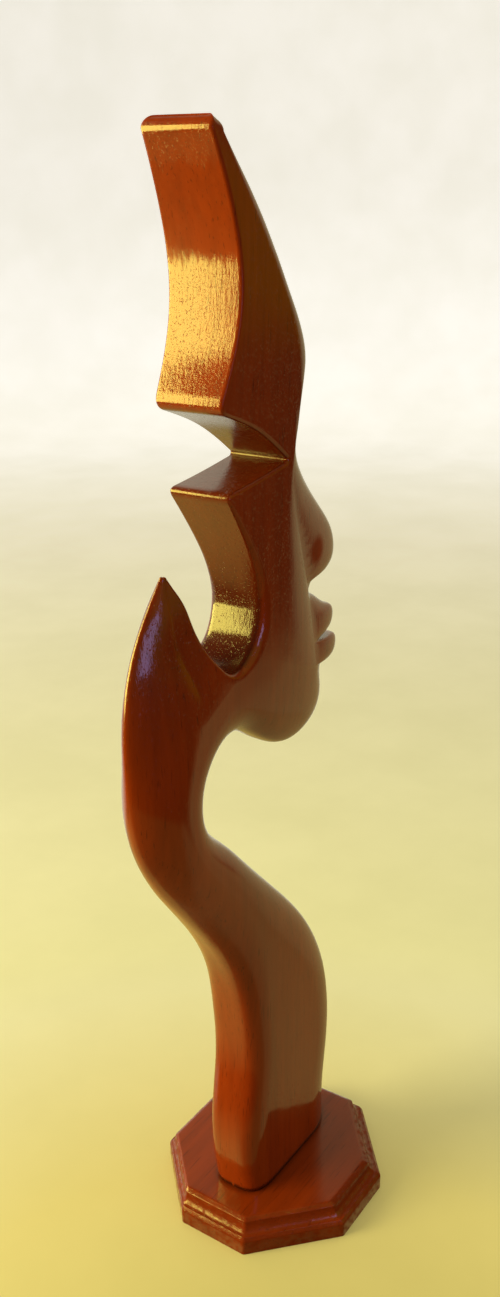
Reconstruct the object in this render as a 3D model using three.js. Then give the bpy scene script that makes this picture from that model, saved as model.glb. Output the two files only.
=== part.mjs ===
// A tall carved wooden figurine: an abstract head on a long curved neck, cut from one plank,
// standing on an octagonal moulded base.
// Millimetres, +Z up. +X is the way the face looks, and the plank's thickness is along Y, the
// same on both sides of Y = 0. The origin is the point of the base's underside from which its
// sides are measured, close to its middle.

import * as THREE from "three";
import { mergeVertices } from "three/addons/utils/BufferGeometryUtils.js";

// The base: a board cut to an octagon by hand, so its sides aren't quite alike. Each side is
// [direction it faces in degrees, distance from the middle, width of its moulding].
const BASE_SIDES = [
  [0, 68, 8.5],
  [45, 61, 8],
  [90, 58, 7.2],
  [133.5, 56, 4.4],
  [178.6, 60.8, 7.7],
  [226.4, 57.8, 7.8],
  [270, 60.7, 9.6],
  [309, 62, 10.2],
];
const BASE_THICK = 18.6;
const BOTTOM_CHAMFER = 0.8;
// The moulding's section as [share of its width, height], up from the upright side: a small
// ledge, a hollow cove from the ledge's last point, and a sloping shoulder up to the top face.
const MOULDING_LEDGE = [
  [0, 8.4],
  [0.13, 10.1],
  [0.17, 10.6],
];
const COVE_TOP = [0.7, 17];
const COVE_STEPS = 4;

// The carving's plank, and the glue line between it and the base.
const HALF_THICK = 16.4;
const FOOT_Z = BASE_THICK + 0.3;

// The neck, from the foot up to the throat. Each station is a cut through it, as
// [back x, back z, front x, front z, rounding at the back, rounding at the front, fullness of
// the back]. A fullness of 1 is a keel, 2 an ellipse and 4 nearly flat.
const NECK = [
  [-38.5, FOOT_Z, 47, FOOT_Z, 17, 26, 3.4],
  [-43, 46, 46.5, 43, 16, 26, 3.6],
  [-42, 76, 50, 76, 15, 26, 3.8],
  [-39, 104, 49, 108, 15, 26, 3.8],
  [-41.5, 134, 37, 143, 16, 26, 3.6],
  [-48, 160, 16, 173, 19, 26, 3],
  [-61.5, 186, -9, 199, 22, 23, 2.3],
  [-81, 212, -33.7, 223.6, 22, 18, 1.7],
  [-101, 238, -56, 245.6, 21, 16, 1.35],
  [-114.5, 264, -73.2, 265, 22, 15.5, 1.2],
  [-119.5, 288, -74, 283, 25, 17, 1.1],
  [-120.5, 306, -58, 298.5, 32, 21, 1.05],
];

// The horn at the back of the head, from the cleft beside it up to its tip, as
// [back x, back z, inner x, inner z, rounding at the back, half thickness].
const HORN = [
  [-120.7, 320, -57, 335.5, 37, HALF_THICK],
  [-119.5, 333, -68, 341.5, 37, 15.6],
  [-116, 348, -75.5, 351, 32, 13],
  [-110, 362, -80.2, 362.5, 22, 9.6],
  [-101.5, 374.8, -83.2, 374, 11, 6.6],
  [-92.4, 386.6, -89, 386, 1.4, 1.4],
];
const HORN_FULLNESS = 1.05;

// The back of the head: the hollow cut over the cleft, the ledge above it, the roof of the
// notch, and the long band at the back of the crown, with a corner between each two.
const CUT = [
  [-57, 335.5],
  [-47.8, 337.6],
  [-40, 344],
  [-34.8, 356],
  [-36, 372],
  [-43.8, 389],
  [-61, 413.6],
];
const LEDGE = [
  [-60.5, 419.6],
  [-38, 422.4],
  [-15.5, 425.4],
];
const ROOF = [
  [-15.8, 429.4],
  [-40, 443.5],
  [-66, 453.5],
];
const BAND = [
  [-69.5, 461],
  [-59.8, 485],
  [-56.9, 507],
  [-61.8, 533],
  [-75.2, 565],
];
const LEDGE_TIP = [-65.2, 418.4];
const NOTCH = [-12.6, 426.9];
const CROWN_CORNER = [-71.5, 455.5];
const CLEFT_EDGE = 3.5; // rounding of the edge at the bottom of the cleft
const CUT_EDGE = 6; // and at the middle of the hollow cut
const SHARP_EDGE = 1.8; // and everywhere else

// The face in profile, from the throat up. A lip is a roll, given by its middle, by how far it
// stands out from its root and by half of its height.
const JAW = [
  [-43, 298.5],
  [-22, 287.5],
  [0, 276.5],
  [21, 275.5],
  [37.5, 284.5],
  [41.5, 296],
  [40.3, 309],
];
const LOWER_LIP = { root: 43, z: 316, reach: 16, half: 7 };
const UPPER_LIP = { root: 40, z: 333, reach: 14.5, half: 8 };
const LIP_ANGLES = [-68, -24, 20, 64];
const MOUTH = [38.5, 323.9];
const NOSE_BASE = [
  [29, 350],
  [22.5, 354.5],
  [29, 359.5],
];
const NOSE_TIP = { x: 45, z: 369.5, radius: 8.4 };
const NOSE_ANGLES = [-80, -30, 20];
const BRIDGE = [
  [43, 388],
  [25.5, 404],
  [10, 420],
];
const BROW = [0, 434];
const CROWN_FRONT = [
  [-2.5, 447],
  [8.6, 468],
  [-7.4, 502.6],
  [-37, 542.3],
  [-62.6, 565],
];

// Where the flat side ends and the rounding towards the face begins, from the throat up.
const CHEEK = [
  [-64.3, 318.6],
  [-50, 321],
  [-28, 333],
  [-20, 352],
  [-18, 374],
  [-15.5, 400],
  [-9.5, 428],
  [-6.5, 462],
  [-22, 500],
  [-50, 538],
  [-67.4, 564.6],
];

// The relief of the nose and lips stands out from a straight line from the chin to the brow. It
// is round across the face, and ends this far from the middle: it is narrow at the lips and
// widens from the nose up to the brow.
const LIPS_HALF = 10.7;
const NOSE_HALF = 12.5;
const BRIDGE_HALF = 16;

// The rounded ends: how far the crown's top and the horn's tip stand above their last cuts, and
// the most that they draw in, as shares of the width and of the thickness there.
const TOP_RISE = 5.5;
const TIP_RISE = 0.9;
const END_DRAW = 0.42;
const END_THIN = 0.8;

const ROUND = 2; // fullness of an elliptical rounding
const SQUARE_REACH = 20; // a rounding longer than this turns towards its flat end sooner
const RELIEF_POWER = 2.6; // 2 would round the relief like an ellipse, and more keeps it fuller
const KEEL_SOFTNESS = 0.12; // how blunt a keel is, as a share of the half thickness

// How finely the surface is divided.
const NECK_STEPS = 3;
const HORN_STEPS = 3;
const END_RINGS = 3;
const WIDE_ARC = 7; // faces round a wide rounding
const EDGE_ARC = 3; // faces round a narrow edge
const TINY = 1e-4;

// The second derivatives of a natural cubic curve at its knots.
function bendsOf(values, knots) {
  const count = values.length;
  const bend = new Array(count).fill(0);
  const carry = new Array(count).fill(0);
  for (let i = 1; i < count - 1; i++) {
    const before = knots[i] - knots[i - 1];
    const after = knots[i + 1] - knots[i];
    const share = before / (before + after);
    const pivot = share * bend[i - 1] + 2;
    const turn = (values[i + 1] - values[i]) / after - (values[i] - values[i - 1]) / before;
    bend[i] = (share - 1) / pivot;
    carry[i] = ((6 * turn) / (before + after) - share * carry[i - 1]) / pivot;
  }
  bend[count - 1] = 0;
  for (let i = count - 2; i >= 0; i--) bend[i] = bend[i] * bend[i + 1] + carry[i];
  return bend;
}

// A smooth line through points, read at a fractional index: 2.5 lies between the third point
// and the fourth. What else a point holds, after its place, changes smoothly along the line too.
function smoothLine(points) {
  const knots = [0];
  for (let i = 1; i < points.length; i++) {
    const gap = Math.hypot(points[i][0] - points[i - 1][0], points[i][1] - points[i - 1][1]);
    knots.push(knots[i - 1] + gap);
  }
  const last = points.length - 1;
  const columns = points[0].map((_, axis) => points.map((point) => point[axis]));
  const bends = columns.map((values) => bendsOf(values, knots));
  const at = (index) => {
    const i = Math.min(Math.max(Math.floor(index), 0), last - 1);
    const gap = knots[i + 1] - knots[i];
    const b = index - i;
    const a = 1 - b;
    return columns.map((values, axis) => {
      const sag = (a * a * a - a) * bends[axis][i] + (b * b * b - b) * bends[axis][i + 1];
      return a * values[i] + b * values[i + 1] + (sag * gap * gap) / 6;
    });
  };
  // The unit direction that lies a quarter turn to the right of the way the line runs.
  const right = (index) => {
    const [x0, z0] = at(Math.max(index - 0.01, 0));
    const [x1, z1] = at(Math.min(index + 0.01, last));
    const length = Math.hypot(x1 - x0, z1 - z0);
    return [(z1 - z0) / length, -(x1 - x0) / length];
  };
  return { at, right, last };
}

const mix = (a, b, t) => a + (b - a) * t;
const move = ([x, z], [dx, dz], by) => [x + dx * by, z + dz * by];
const opposite = ([dx, dz]) => [-dx, -dz];

// How far across a rounding is, from 0 to 1, with its start blunted so that a keel has no edge.
const blunted = (across) =>
  (Math.hypot(across, KEEL_SOFTNESS) - KEEL_SOFTNESS) / (Math.hypot(1, KEEL_SOFTNESS) - KEEL_SOFTNESS);

// Half of a rim, from the middle of the wall out to the flat side. It leaves the outline square
// to it, and bends towards the point of the flat side where the rounding ends.
function rimPoints(end, half) {
  const { point, inward, flat, height, arcs, fullness, relief = [0, 0], reliefHalf = half } = end;
  const high = Math.min(height, half);
  const length = Math.hypot(flat[0] - point[0], flat[1] - point[1]);
  const square = Math.min(SQUARE_REACH / length, 1);
  const control = [0, 1].map(
    (k) => point[k] + ((flat[k] - point[k]) * (1 - square) + inward[k] * length * square) / 2,
  );
  const points = [[point[0] + relief[0], 0, point[1] + relief[1]]];
  for (let i = 0; i <= arcs; i++) {
    const across = Math.sin((i / arcs) * (Math.PI / 2));
    const y = half - high + high * across;
    const t = 1 - Math.sqrt(Math.max(1 - (high === half ? blunted(across) : across) ** fullness, 0));
    const share = Math.sqrt(Math.max(1 - (y / reliefHalf) ** RELIEF_POWER, 0));
    const [x, z] = [0, 1].map(
      (k) =>
        (1 - t) * (1 - t) * point[k] +
        2 * t * (1 - t) * control[k] +
        t * t * flat[k] +
        share * relief[k],
    );
    points.push([x, y, z]);
  }
  return points;
}

// A rib is a cut through the carving, from the middle of its back to the middle of its front,
// over the side where Y is positive.
function rib(back, front, half = HALF_THICK) {
  return [...rimPoints(back, half), ...rimPoints(front, half).reverse()];
}

// One end of a rib on a wide rounding, or on a narrow edge of the given radius.
const wide = (point, inward, flat, fullness = ROUND) => ({
  point,
  inward,
  flat,
  height: Infinity,
  arcs: WIDE_ARC,
  fullness,
});
const edge = (point, inward, radius) => ({
  point,
  inward,
  flat: move(point, inward, radius),
  height: radius,
  arcs: EDGE_ARC,
  fullness: ROUND,
});

// The long lines of the carving: the nape runs up to the horn's tip, and the profile runs from
// the foot up the throat, round the jaw and over the face to the top of the crown.
const roll = ({ root, z, reach, half }, angles) =>
  angles.map((angle) => {
    const a = THREE.MathUtils.degToRad(angle);
    return [root + reach * Math.cos(a), z + half * Math.sin(a)];
  });
const profilePoints = NECK.map((station) => station.slice(2, 4));
const marks = { throat: profilePoints.length - 1 };
profilePoints.push(...JAW);
marks.chin = profilePoints.length - 1;
profilePoints.push(...roll(LOWER_LIP, LIP_ANGLES), MOUTH, ...roll(UPPER_LIP, LIP_ANGLES));
profilePoints.push(...NOSE_BASE);
marks.nose = profilePoints.length - 1;
const { x: noseX, z: noseZ, radius } = NOSE_TIP;
profilePoints.push(...roll({ root: noseX, z: noseZ, reach: radius, half: radius }, NOSE_ANGLES));
marks.noseTop = profilePoints.length - 1;
profilePoints.push(...BRIDGE);
marks.bridge = profilePoints.length - 1;
profilePoints.push(BROW);
marks.brow = profilePoints.length - 1;
profilePoints.push(...CROWN_FRONT);
marks.top = profilePoints.length - 1;

const profile = smoothLine(profilePoints);
const chinPoint = profilePoints[marks.chin];
const plainFace = smoothLine(
  profilePoints.map(([px, pz], index) => {
    if (index <= marks.chin || index >= marks.brow) return [px, pz];
    const share = (pz - chinPoint[1]) / (BROW[1] - chinPoint[1]);
    return [mix(chinPoint[0], BROW[0], share), pz];
  }),
);
const throat = smoothLine(NECK.map(([, , ...front]) => [front[0], front[1], front[3]]));
const nape = smoothLine([
  ...NECK.map(([x, z, , , rounding, , fullness]) => [x, z, rounding, fullness]),
  ...HORN.map(([x, z, , , rounding]) => [x, z, rounding, HORN_FULLNESS]),
]);
const hornInner = HORN.map((station) => station.slice(2, 4)).reverse();
const hornSize = smoothLine(HORN.map((station) => [station[2], station[3], station[5]]));
const cleft = smoothLine([...hornInner, ...CUT.slice(1)]);
const cheek = smoothLine(CHEEK);
const CLEFT_START = hornInner.length - 1;

// A direction turned towards the level by a share, because the foot is cut off level.
function levelled([dx, dz], share) {
  const rise = dz * (1 - Math.max(share, 0));
  const length = Math.hypot(dx, rise);
  return [dx / length, rise / length];
}

// An inward direction, turned halfway to the rib's own line, except near the throat. Ribs that
// all kept square to a bent outline would cross each other.
const STRAIGHTEN_FADE = 1.5;
function straightened(own, across, i) {
  const share = Math.max(Math.min((marks.throat - i) / STRAIGHTEN_FADE, 1), 0);
  const size = Math.hypot(...across);
  const both = [own[0] + (across[0] / size) * share, own[1] + (across[1] / size) * share];
  const length = Math.hypot(...both);
  return [both[0] / length, both[1] / length];
}

// The neck: both of its sides are wide roundings.
function neckRibs() {
  const ribs = [];
  for (let step = 0; step <= (NECK.length - 1) * NECK_STEPS; step++) {
    const i = step / NECK_STEPS;
    const back = nape.at(i);
    const front = plainFace.at(i);
    const across = [front[0] - back[0], front[1] - back[1]];
    const intoBack = straightened(levelled(nape.right(i), 1 - i), across, i);
    const squareFront = levelled(opposite(plainFace.right(i)), 1 - i);
    const intoFront = straightened(squareFront, opposite(across), i);
    const flat = i === marks.throat ? cheek.at(0) : move(front, intoFront, throat.at(i)[2]);
    const rear = wide(back, intoBack, move(back, intoBack, back[2]), back[3]);
    ribs.push(rib(rear, wide(front, intoFront, flat)));
  }
  return ribs;
}

// The horn: rounded at the back, with a sharp edge round its flat inner face.
function hornRibs() {
  const ribs = [];
  for (let step = 0; step <= (HORN.length - 1) * HORN_STEPS; step++) {
    const i = step / HORN_STEPS;
    const half = hornSize.at(i)[2];
    const back = nape.at(NECK.length + i);
    const into = nape.right(NECK.length + i);
    const inner = CLEFT_START - i;
    const radius = Math.min(mix(CLEFT_EDGE, SHARP_EDGE, Math.min(i, 1)), half / 2);
    const rear = wide(back, into, move(back, into, back[2]), back[3]);
    ribs.push(rib(rear, edge(cleft.at(inner), cleft.right(inner), radius), half));
  }
  return ribs;
}

// A rounded corner from the end of one line to the start of the next, with its inward direction.
function corner(before, tip, after) {
  const a = before.at(before.last);
  const b = after.at(0);
  return (t) => {
    const point = [0, 1].map((k) => mix(mix(a[k], tip[k], t), mix(tip[k], b[k], t), t));
    const dx = mix(tip[0] - a[0], b[0] - tip[0], t);
    const dz = mix(tip[1] - a[1], b[1] - tip[1], t);
    const length = Math.hypot(dx, dz);
    return [point, [dz / length, -dx / length]];
  };
}

const along = (line, from, to) => (t) => {
  const index = mix(from, to, t);
  return [line.at(index), line.right(index)];
};

// The crown is a little thicker than the rest: this much is added to each side, at a height.
const CROWN_START = 424;
const CROWN_END = 600;
const CROWN_SWELL = 2.8;
const SWELL_POWER = 1.3; // above 1, so that the swelling starts without a kink
function crownSwell(z) {
  const share = Math.max((z - CROWN_START) / (CROWN_END - CROWN_START), 0);
  return CROWN_SWELL * Math.sin(Math.PI * share) ** SWELL_POWER;
}

// Half the width of the relief at an index of the profile.
function reliefHalf(index) {
  if (index < marks.nose) return LIPS_HALF;
  if (index < marks.noseTop) {
    return mix(LIPS_HALF, NOSE_HALF, (index - marks.nose) / (marks.noseTop - marks.nose));
  }
  const t = (index - marks.noseTop) / (marks.bridge - marks.noseTop);
  return mix(NOSE_HALF, BRIDGE_HALF, Math.min(t, 1));
}

// The head, walked round from the cleft up to the crown. Each stretch of its back ends at an
// index of the profile and of the line where the cheek's rounding begins.
const ledge = smoothLine(LEDGE);
const roof = smoothLine(ROOF);
const band = smoothLine(BAND);
const besideChin = CLEFT_START + 2;
const besideNose = CLEFT_START + 3.4;
const STRETCHES = [
  {
    back: along(cleft, CLEFT_START, besideChin),
    profile: marks.chin,
    cheek: 2,
    steps: 14,
    edge: CUT_EDGE,
  },
  {
    back: along(cleft, besideChin, besideNose),
    profile: marks.nose,
    cheek: 3.3,
    steps: 30,
    edge: CUT_EDGE,
  },
  { back: along(cleft, besideNose, cleft.last), profile: marks.bridge - 0.5, cheek: 5.2, steps: 14 },
  { back: corner(cleft, LEDGE_TIP, ledge), profile: marks.bridge - 0.3, cheek: 5.3, steps: 3 },
  { back: along(ledge, 0, ledge.last), profile: marks.brow - 0.3, cheek: 5.9, steps: 5 },
  { back: corner(ledge, NOTCH, roof), profile: marks.brow + 0.3, cheek: 6.1, steps: 3 },
  { back: along(roof, 0, roof.last), profile: marks.brow + 1.8, cheek: 6.8, steps: 5 },
  { back: corner(roof, CROWN_CORNER, band), profile: marks.brow + 2, cheek: 7, steps: 3 },
  { back: along(band, 0, band.last), profile: marks.top, cheek: cheek.last, steps: 14 },
];

// The end of the rounding beside a place on the profile. The pace changes between stretches, and
// that change is spread over a few places, so that it leaves no crease.
const CHEEK_BLEND = 1;
const BLEND_PLACES = 8;
function cheekBeside(index) {
  const stops = [[marks.throat, 0], ...STRETCHES.map((stretch) => [stretch.profile, stretch.cheek])];
  const reach = Math.min(CHEEK_BLEND, index - marks.throat, marks.top - index);
  let sum = 0;
  for (let k = 0; k <= BLEND_PLACES; k++) {
    const near = index + reach * (k / (BLEND_PLACES / 2) - 1);
    const after = Math.max(stops.findIndex(([stop]) => stop >= near - TINY), 1);
    const [[from, low], [to, high]] = [stops[after - 1], stops[after]];
    sum += mix(low, high, (near - from) / (to - from));
  }
  return cheek.at(sum / (BLEND_PLACES + 1));
}

function headRibs() {
  const ribs = [];
  let from = { profile: marks.throat, edge: CLEFT_EDGE };
  for (const stretch of STRETCHES) {
    const to = { edge: SHARP_EDGE, ...stretch };
    for (let step = ribs.length ? 1 : 0; step <= to.steps; step++) {
      const t = step / to.steps;
      const [point, inward] = to.back(t);
      const index = mix(from.profile, to.profile, t);
      const begin = cheekBeside(index);
      const plain = plainFace.at(index);
      const front = wide(plain, opposite(plainFace.right(index)), begin);
      front.relief = profile.at(index).map((value, k) => value - plain[k]);
      front.reliefHalf = reliefHalf(index);
      const back = edge(point, inward, mix(from.edge, to.edge, t));
      ribs.push(rib(back, front, HALF_THICK + crownSwell(point[1])));
    }
    from = to;
  }
  return ribs;
}

// The rings that round off a free end above its last rib: they rise, draw in from both ends of
// the rib and get thinner, along a quarter of an ellipse.
function endRibs(last, rise) {
  const back = last[0][0];
  const front = last[last.length - 1][0];
  const half = Math.max(...last.map((point) => point[1]));
  const drawn = Math.min(rise / (front - back), END_DRAW);
  const thinned = Math.min(rise / half, END_THIN);
  const rings = [];
  for (let ring = 1; ring <= END_RINGS; ring++) {
    const angle = (ring / END_RINGS) * (Math.PI / 2);
    const inwards = 1 - Math.cos(angle);
    const draw = drawn * inwards;
    rings.push(
      last.map(([x, y, z]) => [
        mix(back, front, mix(draw, 1 - draw, (x - back) / (front - back))),
        y * (1 - thinned * inwards),
        z + rise * Math.sin(angle),
      ]),
    );
  }
  return rings;
}

// The carving's skin is a list of triangles, facing out.
const mirrored = ([x, y, z]) => [x, -y, z];
const apart = (a, b) => Math.hypot(a[0] - b[0], a[1] - b[1], a[2] - b[2]);
const same = (a, b) => apart(a, b) < TINY;

class Skin {
  corners = [];
  triangle(a, b, c) {
    if (!same(a, b) && !same(b, c) && !same(c, a)) this.corners.push(...a, ...b, ...c);
  }
  // A four-sided patch of the side where Y is positive, and the same patch on the other side,
  // each divided along its shorter diagonal.
  bothSides(...patch) {
    const [a, b, c, d] = patch;
    const [p, q, r, s] = apart(a, c) < apart(b, d) ? patch : [b, c, d, a];
    this.triangle(p, q, r);
    this.triangle(p, r, s);
    this.triangle(mirrored(p), mirrored(r), mirrored(q));
    this.triangle(mirrored(p), mirrored(s), mirrored(r));
  }
  // The stretch between ribs, over the given number of their faces, counted from the back.
  loft(ribs, faces = ribs[0].length - 1) {
    for (let k = 0; k + 1 < ribs.length; k++) {
      for (let j = 0; j < faces; j++) {
        this.bothSides(ribs[k][j], ribs[k + 1][j], ribs[k + 1][j + 1], ribs[k][j + 1]);
      }
    }
  }
  // A lid straight across the thickness, over a last rib or under a first one.
  lid(ribPoints, facesUp) {
    for (let j = 0; j + 1 < ribPoints.length; j++) {
      const [a, b] = [ribPoints[j], ribPoints[j + 1]];
      const round = [a, mirrored(a), mirrored(b), b];
      const [p, q, r, s] = facesUp ? round : round.reverse();
      this.triangle(p, q, r);
      this.triangle(p, r, s);
    }
  }
  geometry() {
    const positions = new THREE.Float32BufferAttribute(this.corners, 3);
    return mergeVertices(new THREE.BufferGeometry().setAttribute("position", positions), TINY);
  }
}

function carving() {
  const skin = new Skin();
  const neck = neckRibs();
  const horn = hornRibs();
  const head = headRibs();
  horn.push(...endRibs(horn[horn.length - 1], TIP_RISE));
  head.push(...endRibs(head[head.length - 1], TOP_RISE));
  for (const ribs of [neck, horn, head]) skin.loft(ribs);
  skin.lid(neck[0], false);
  skin.lid(horn[horn.length - 1], true);
  skin.lid(head[head.length - 1], true);
  // Where the neck divides, its back runs on into the horn, and a flat patch on each side joins
  // the neck, the horn and the head.
  const neckTop = neck[neck.length - 1];
  const backFaces = WIDE_ARC + 1;
  skin.loft([neckTop, horn[0]], backFaces);
  skin.bothSides(neckTop[backFaces], horn[0][backFaces], head[0][EDGE_ARC + 1], neckTop[backFaces + 1]);
  return skin.geometry();
}

// A ring round the base, at a share of the moulding's width in from each side's face.
function baseRing([share, z], setBack = 0) {
  const faces = BASE_SIDES.map(([degrees, distance, width]) => {
    const angle = THREE.MathUtils.degToRad(degrees);
    return [Math.cos(angle), Math.sin(angle), distance - share * width - setBack];
  });
  return faces.map(([ax, ay, a], i) => {
    const [bx, by, b] = faces[(i + 1) % faces.length];
    const turn = ax * by - ay * bx;
    return [(a * by - b * ay) / turn, (b * ax - a * bx) / turn, z];
  });
}

// The rings from the underside up to the top face.
function baseRings() {
  const rings = [baseRing([0, 0], BOTTOM_CHAMFER), baseRing([0, BOTTOM_CHAMFER])];
  rings.push(...MOULDING_LEDGE.map((place) => baseRing(place)));
  const [foot] = MOULDING_LEDGE.slice(-1);
  for (let step = 1; step <= COVE_STEPS; step++) {
    const angle = (step / COVE_STEPS) * (Math.PI / 2);
    const share = mix(foot[0], COVE_TOP[0], Math.sin(angle));
    rings.push(baseRing([share, mix(foot[1], COVE_TOP[1], 1 - Math.cos(angle))]));
  }
  rings.push(baseRing([1, BASE_THICK]));
  return rings;
}

function octagon() {
  const skin = new Skin();
  const rings = baseRings();
  const count = rings[0].length;
  for (let k = 0; k + 1 < rings.length; k++) {
    for (let i = 0; i < count; i++) {
      const next = (i + 1) % count;
      skin.triangle(rings[k][i], rings[k][next], rings[k + 1][next]);
      skin.triangle(rings[k][i], rings[k + 1][next], rings[k + 1][i]);
    }
  }
  const [bottom, top] = [rings[0], rings[rings.length - 1]];
  for (let i = 1; i + 1 < count; i++) {
    skin.triangle(bottom[0], bottom[i + 1], bottom[i]);
    skin.triangle(top[0], top[i], top[i + 1]);
  }
  return skin.geometry();
}

const varnished = (color) => new THREE.MeshStandardMaterial({ color, roughness: 0.25 });
const part = (name, geometry, material) => {
  const mesh = new THREE.Mesh(geometry, material);
  mesh.name = name;
  return mesh;
};

const figurine = new THREE.Group();
figurine.add(part("carved_figure", carving(), varnished(0x5c2412)));
figurine.add(part("octagonal_base", octagon(), varnished(0x4e1d10)));

export default figurine;
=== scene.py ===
# %% [markdown]
# A tall carved figurine in glossy dark wood
#
# The real thing is a souvenir carving: an abstract head on a long curved neck, sawn and carved
# from one plank, on an eight-sided base with a moulded edge. Both are stained a deep reddish
# brown and brushed with clear varnish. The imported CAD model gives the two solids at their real
# size. They are faceted, so this script makes the same forms again with fine meshes, and then
# gives them the look of stained and varnished wood.

import math

import bmesh
import bpy
import numpy as np
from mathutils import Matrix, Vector, noise


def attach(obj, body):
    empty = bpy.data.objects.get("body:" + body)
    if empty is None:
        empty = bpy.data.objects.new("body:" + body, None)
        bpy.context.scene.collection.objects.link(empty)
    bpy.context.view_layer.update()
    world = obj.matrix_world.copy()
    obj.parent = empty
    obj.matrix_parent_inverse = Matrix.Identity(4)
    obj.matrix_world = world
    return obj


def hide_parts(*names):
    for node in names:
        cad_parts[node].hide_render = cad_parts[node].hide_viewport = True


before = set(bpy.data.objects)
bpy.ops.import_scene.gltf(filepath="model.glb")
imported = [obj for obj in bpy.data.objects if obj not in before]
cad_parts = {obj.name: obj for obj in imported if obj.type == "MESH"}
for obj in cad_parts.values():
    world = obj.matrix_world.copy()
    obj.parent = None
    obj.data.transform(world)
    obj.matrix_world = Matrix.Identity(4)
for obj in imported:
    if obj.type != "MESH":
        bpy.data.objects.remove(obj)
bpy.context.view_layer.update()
MM = 0.001

# %% [markdown]
# The camera
#
# The photograph was taken from behind the right side of the head, looking down on it a little.
# A camera could be placed by eye, or tracked. Here its place was worked out from straight edges
# of the base and from the plank's even thickness, so the perspective is the photograph's own.
# Blender takes the sensor's width along the longer side of the picture, which here is its height.

# %% Place the camera
CAMERA_PLACE = Vector((-505.4, -314.3, 540.9)) * MM
CAMERA_YAW = math.radians(33.01)  # from +X towards +Y
CAMERA_PITCH = math.radians(19.76)  # below the horizon
SENSOR_WIDTH = 36  # mm
FOCAL_LENGTH = 34.97  # mm

camera = bpy.data.objects.new("camera", bpy.data.cameras.new("camera"))
bpy.context.scene.collection.objects.link(camera)
bpy.context.scene.camera = camera
camera.data.sensor_width = SENSOR_WIDTH
camera.data.lens = FOCAL_LENGTH
camera.data.clip_start = 0.01
looking = Vector((math.cos(CAMERA_YAW), math.sin(CAMERA_YAW), -math.tan(CAMERA_PITCH)))
camera.location = CAMERA_PLACE
camera.rotation_mode = "QUATERNION"
camera.rotation_quaternion = looking.to_track_quat("-Z", "Y")
print("camera looks along", [round(v, 3) for v in looking.normalized()])

# %% [markdown]
# Smooth lines
#
# The outline of such a carving is a set of long sweeps with a corner between each two, drawn on
# the plank and followed with a saw. A Bezier curve drawn by hand would do, but its handles are
# many numbers. A natural cubic curve needs only the points that it passes through, and bends no
# more than it has to, just like a thin strip of wood held at those points.

# %% A curve through points
SLOPE_STEP = 0.01  # of an index, over which a direction is measured


class SmoothLine:
    """A smooth curve through points, read at a fractional index. What else a point holds, after
    its place, changes smoothly along the curve too."""

    def __init__(self, points):
        self.points = np.array(points, float)
        self.last = len(points) - 1
        self.gaps = np.linalg.norm(np.diff(self.points[:, :2], axis=0), axis=1)
        matrix = np.eye(self.last + 1)
        turns = np.zeros_like(self.points)
        slopes = np.diff(self.points, axis=0) / self.gaps[:, None]
        for i in range(1, self.last):
            before, after = self.gaps[i - 1], self.gaps[i]
            matrix[i, i - 1 : i + 2] = before, 2 * (before + after), after
            turns[i] = 6 * (slopes[i] - slopes[i - 1])
        self.bends = np.linalg.solve(matrix, turns)

    def at(self, index):
        i = min(max(int(index), 0), self.last - 1)
        b = index - i
        a = 1 - b
        sag = (a**3 - a) * self.bends[i] + (b**3 - b) * self.bends[i + 1]
        return a * self.points[i] + b * self.points[i + 1] + sag * self.gaps[i] ** 2 / 6

    def right(self, index):
        """The unit direction a quarter turn to the right of the way the curve runs."""
        ends = self.at(max(index - SLOPE_STEP, 0)), self.at(min(index + SLOPE_STEP, self.last))
        dx, dz = (ends[1] - ends[0])[:2]
        return np.array([dz, -dx]) / math.hypot(dx, dz)


# %% [markdown]
# The carving's outline
#
# These are the driving dimensions of the CAD model, in millimetres, a few of them fitted a
# little closer: +X is the way the face looks and Z is up. The neck and the horn are stations
# along a sweep. The other lines are the edges of the head as somebody would draw them on the
# plank: the cut beside the horn, the ledge and the roof of the notch, and the hollow band at
# the back of the crown.

# %% Neck and horn
HALF_THICK = 16.4
BASE_THICK = 18.6
GLUE_GAP = 0.3
FOOT_Z = BASE_THICK + GLUE_GAP

# Each station is [back x, back z, front x, front z, rounding at the back, at the front,
# fullness of the back]. A fullness of 1 is a keel, 2 an ellipse and 4 nearly flat.
NECK = [
    [-38.5, FOOT_Z, 47, FOOT_Z, 17, 26, 3.4],
    [-43, 46, 46.5, 43, 16, 26, 3.6],
    [-42, 76, 50, 76, 15, 26, 3.8],
    [-39, 104, 49, 108, 15, 26, 3.8],
    [-41.5, 134, 37, 143, 16, 26, 3.6],
    [-48, 160, 16, 173, 19, 26, 3],
    [-61.5, 186, -9, 199, 22, 23, 2.3],
    [-81, 212, -33.7, 223.6, 22, 18, 1.7],
    [-101, 238, -56, 245.6, 21, 16, 1.35],
    [-114.5, 264, -73.2, 265, 22, 15.5, 1.2],
    [-119.5, 288, -74, 283, 25, 17, 1.1],
    [-120.5, 306, -58, 298.5, 32, 21, 1.05],
]
# Each station is [back x, back z, inner x, inner z, rounding at the back, half thickness].
HORN = [
    [-120.7, 320, -57, 335.5, 37, HALF_THICK],
    [-119.5, 333, -68, 341.5, 37, 15.6],
    [-116, 348, -75.5, 351, 32, 13],
    [-110, 362, -80.2, 362.5, 22, 9.6],
    [-101.5, 374.8, -83.2, 374, 11, 6.6],
    [-92.4, 386.6, -89, 386, 1.4, 1.4],
]
HORN_FULLNESS = 1.05

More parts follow.
